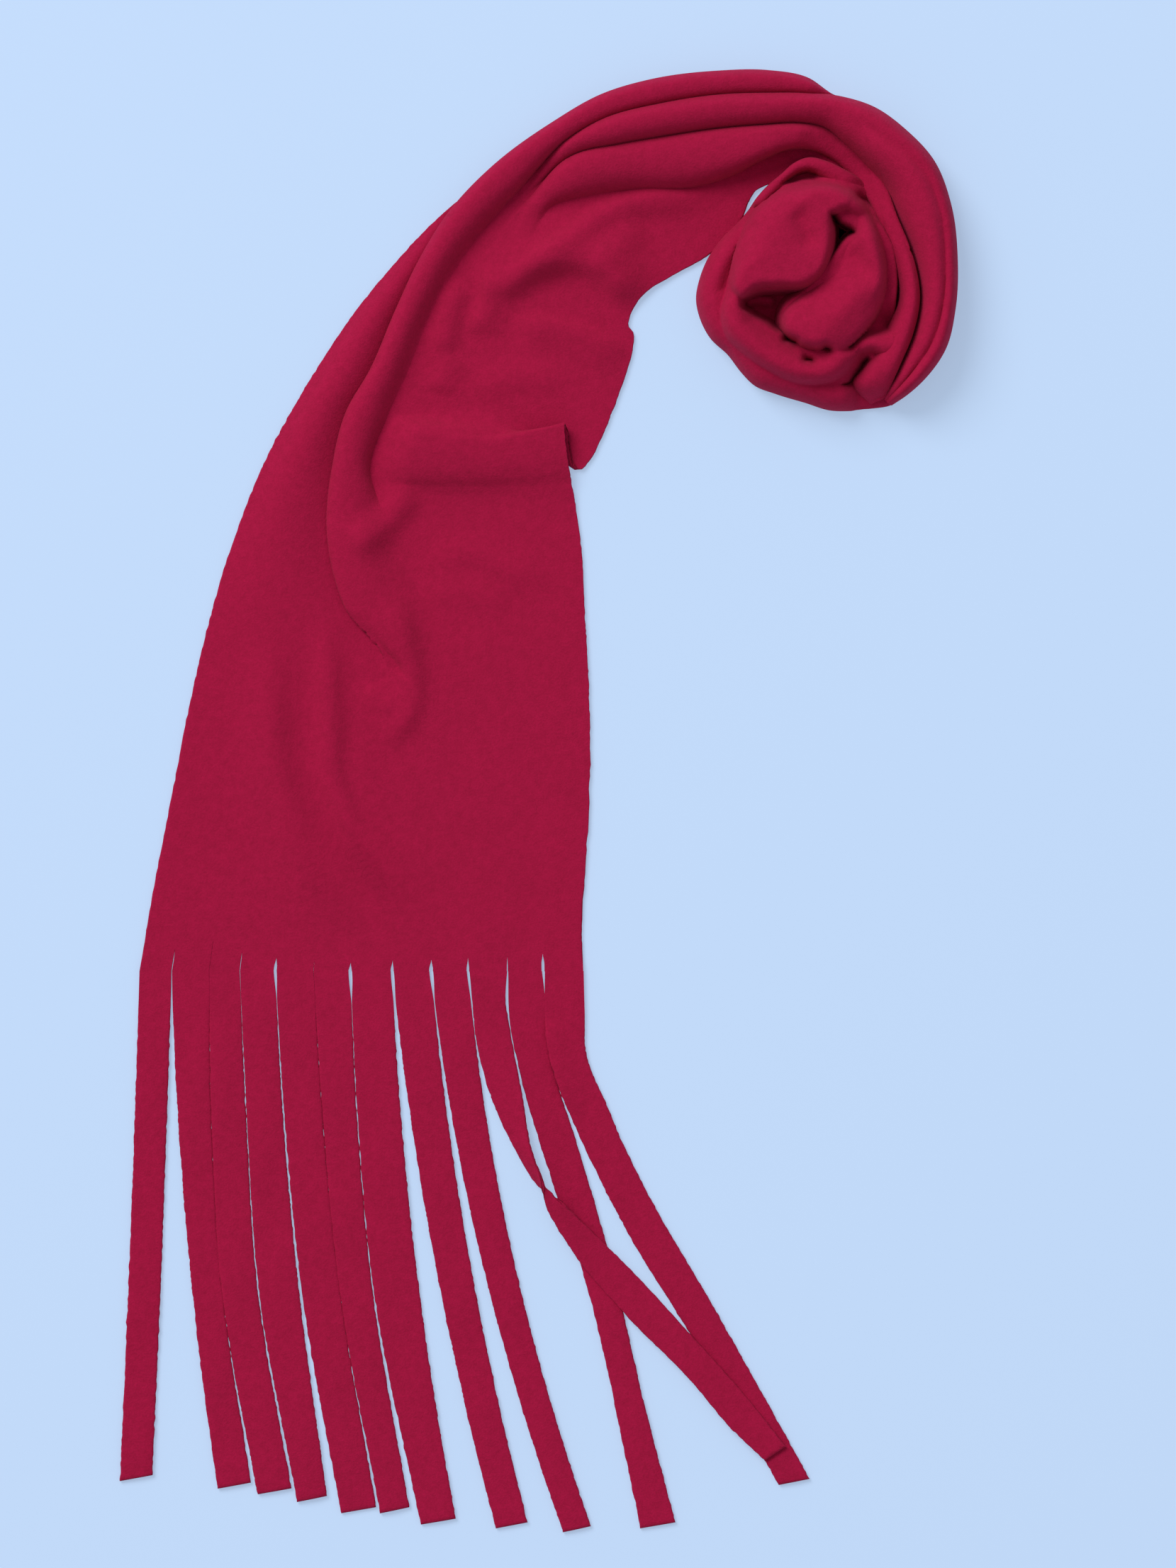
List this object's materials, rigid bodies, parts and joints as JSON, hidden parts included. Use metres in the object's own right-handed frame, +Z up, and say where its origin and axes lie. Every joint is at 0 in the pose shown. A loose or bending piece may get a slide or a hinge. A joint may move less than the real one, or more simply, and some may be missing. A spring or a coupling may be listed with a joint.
{
  "type": "fringed fleece scarf",
  "caption": "Long fleece scarf laid in an arc, with a hand-cut fringe at one end and the other end gathered into a loose coil.",
  "frame": {"origin": "middle of the laid scarf's outline, on the surface that it rests on", "axes": "+Y from the fringe to the coiled end, +X across the scarf towards the coil, +Z up from the surface"},
  "size_m": [0.4424, 0.7718, 0.046],
  "materials": {
    "red_fleece": "matte"
  },
  "bodies": {
    "scarf": {"flat_panel": "red_fleece", "free_edge_sheet": "red_fleece", "cross_pleat": "red_fleece", "outer_fold": "red_fleece", "middle_fold": "red_fleece", "inner_fold": "red_fleece", "coil_outer_turn": "red_fleece", "coil_middle_turn": "red_fleece", "coil_inner_turn": "red_fleece", "coil_heart": "red_fleece"},
    "strip_01": {"fringe_strip_01": "red_fleece"},
    "strip_02": {"fringe_strip_02": "red_fleece"},
    "strip_03": {"fringe_strip_03": "red_fleece"},
    "strip_04": {"fringe_strip_04": "red_fleece"},
    "strip_05": {"fringe_strip_05": "red_fleece"},
    "strip_06": {"fringe_strip_06": "red_fleece"},
    "strip_07": {"fringe_strip_07": "red_fleece"},
    "strip_08": {"fringe_strip_08": "red_fleece"},
    "strip_09": {"fringe_strip_09": "red_fleece"},
    "strip_10": {"fringe_strip_10": "red_fleece"},
    "strip_11": {"fringe_strip_11": "red_fleece"},
    "strip_12": {"fringe_strip_12": "red_fleece"}
  },
  "joints": [
    {"name": "strip_01_lift", "type": "hinge", "parent": "scarf", "child": "strip_01", "pos_m": [-0.2023, -0.08929, 0.0024], "axis": [-1, 0, 0], "range_deg": [0, 170]},
    {"name": "strip_02_lift", "type": "hinge", "parent": "scarf", "child": "strip_02", "pos_m": [-0.1839, -0.08929, 0.0024], "axis": [-1, 0, 0], "range_deg": [0, 170]},
    {"name": "strip_03_lift", "type": "hinge", "parent": "scarf", "child": "strip_03", "pos_m": [-0.1659, -0.08929, 0.0024], "axis": [-1, 0, 0], "range_deg": [0, 170]},
    {"name": "strip_04_lift", "type": "hinge", "parent": "scarf", "child": "strip_04", "pos_m": [-0.14845, -0.08929, 0.0024], "axis": [-1, 0, 0], "range_deg": [0, 170]},
    {"name": "strip_05_lift", "type": "hinge", "parent": "scarf", "child": "strip_05", "pos_m": [-0.12895, -0.08929, 0.0024], "axis": [-1, 0, 0], "range_deg": [0, 170]},
    {"name": "strip_06_lift", "type": "hinge", "parent": "scarf", "child": "strip_06", "pos_m": [-0.1091, -0.08929, 0.0024], "axis": [-1, 0, 0], "range_deg": [0, 170]},
    {"name": "strip_07_lift", "type": "hinge", "parent": "scarf", "child": "strip_07", "pos_m": [-0.0883, -0.08929, 0.0024], "axis": [-1, 0, 0], "range_deg": [0, 170]},
    {"name": "strip_08_lift", "type": "hinge", "parent": "scarf", "child": "strip_08", "pos_m": [-0.0669, -0.08929, 0.0024], "axis": [-1, 0, 0], "range_deg": [0, 170]},
    {"name": "strip_09_lift", "type": "hinge", "parent": "scarf", "child": "strip_09", "pos_m": [-0.04685, -0.08929, 0.0024], "axis": [-1, 0, 0], "range_deg": [0, 170]},
    {"name": "strip_10_lift", "type": "hinge", "parent": "strip_11", "child": "strip_10", "pos_m": [-0.02665, -0.08929, 0.0024], "axis": [-1, 0, 0], "range_deg": [0, 85]},
    {"name": "strip_11_lift", "type": "hinge", "parent": "scarf", "child": "strip_11", "pos_m": [-0.00675, -0.08929, 0.0024], "axis": [-1, 0, 0], "range_deg": [0, 85]},
    {"name": "strip_12_lift", "type": "hinge", "parent": "scarf", "child": "strip_12", "pos_m": [0.01335, -0.08929, 0.0024], "axis": [-1, 0, 0], "range_deg": [0, 85]}
  ],
  "couplings": [
    {"joint": "strip_12_lift", "follows": "strip_11_lift", "ratio": 1}
  ]
}
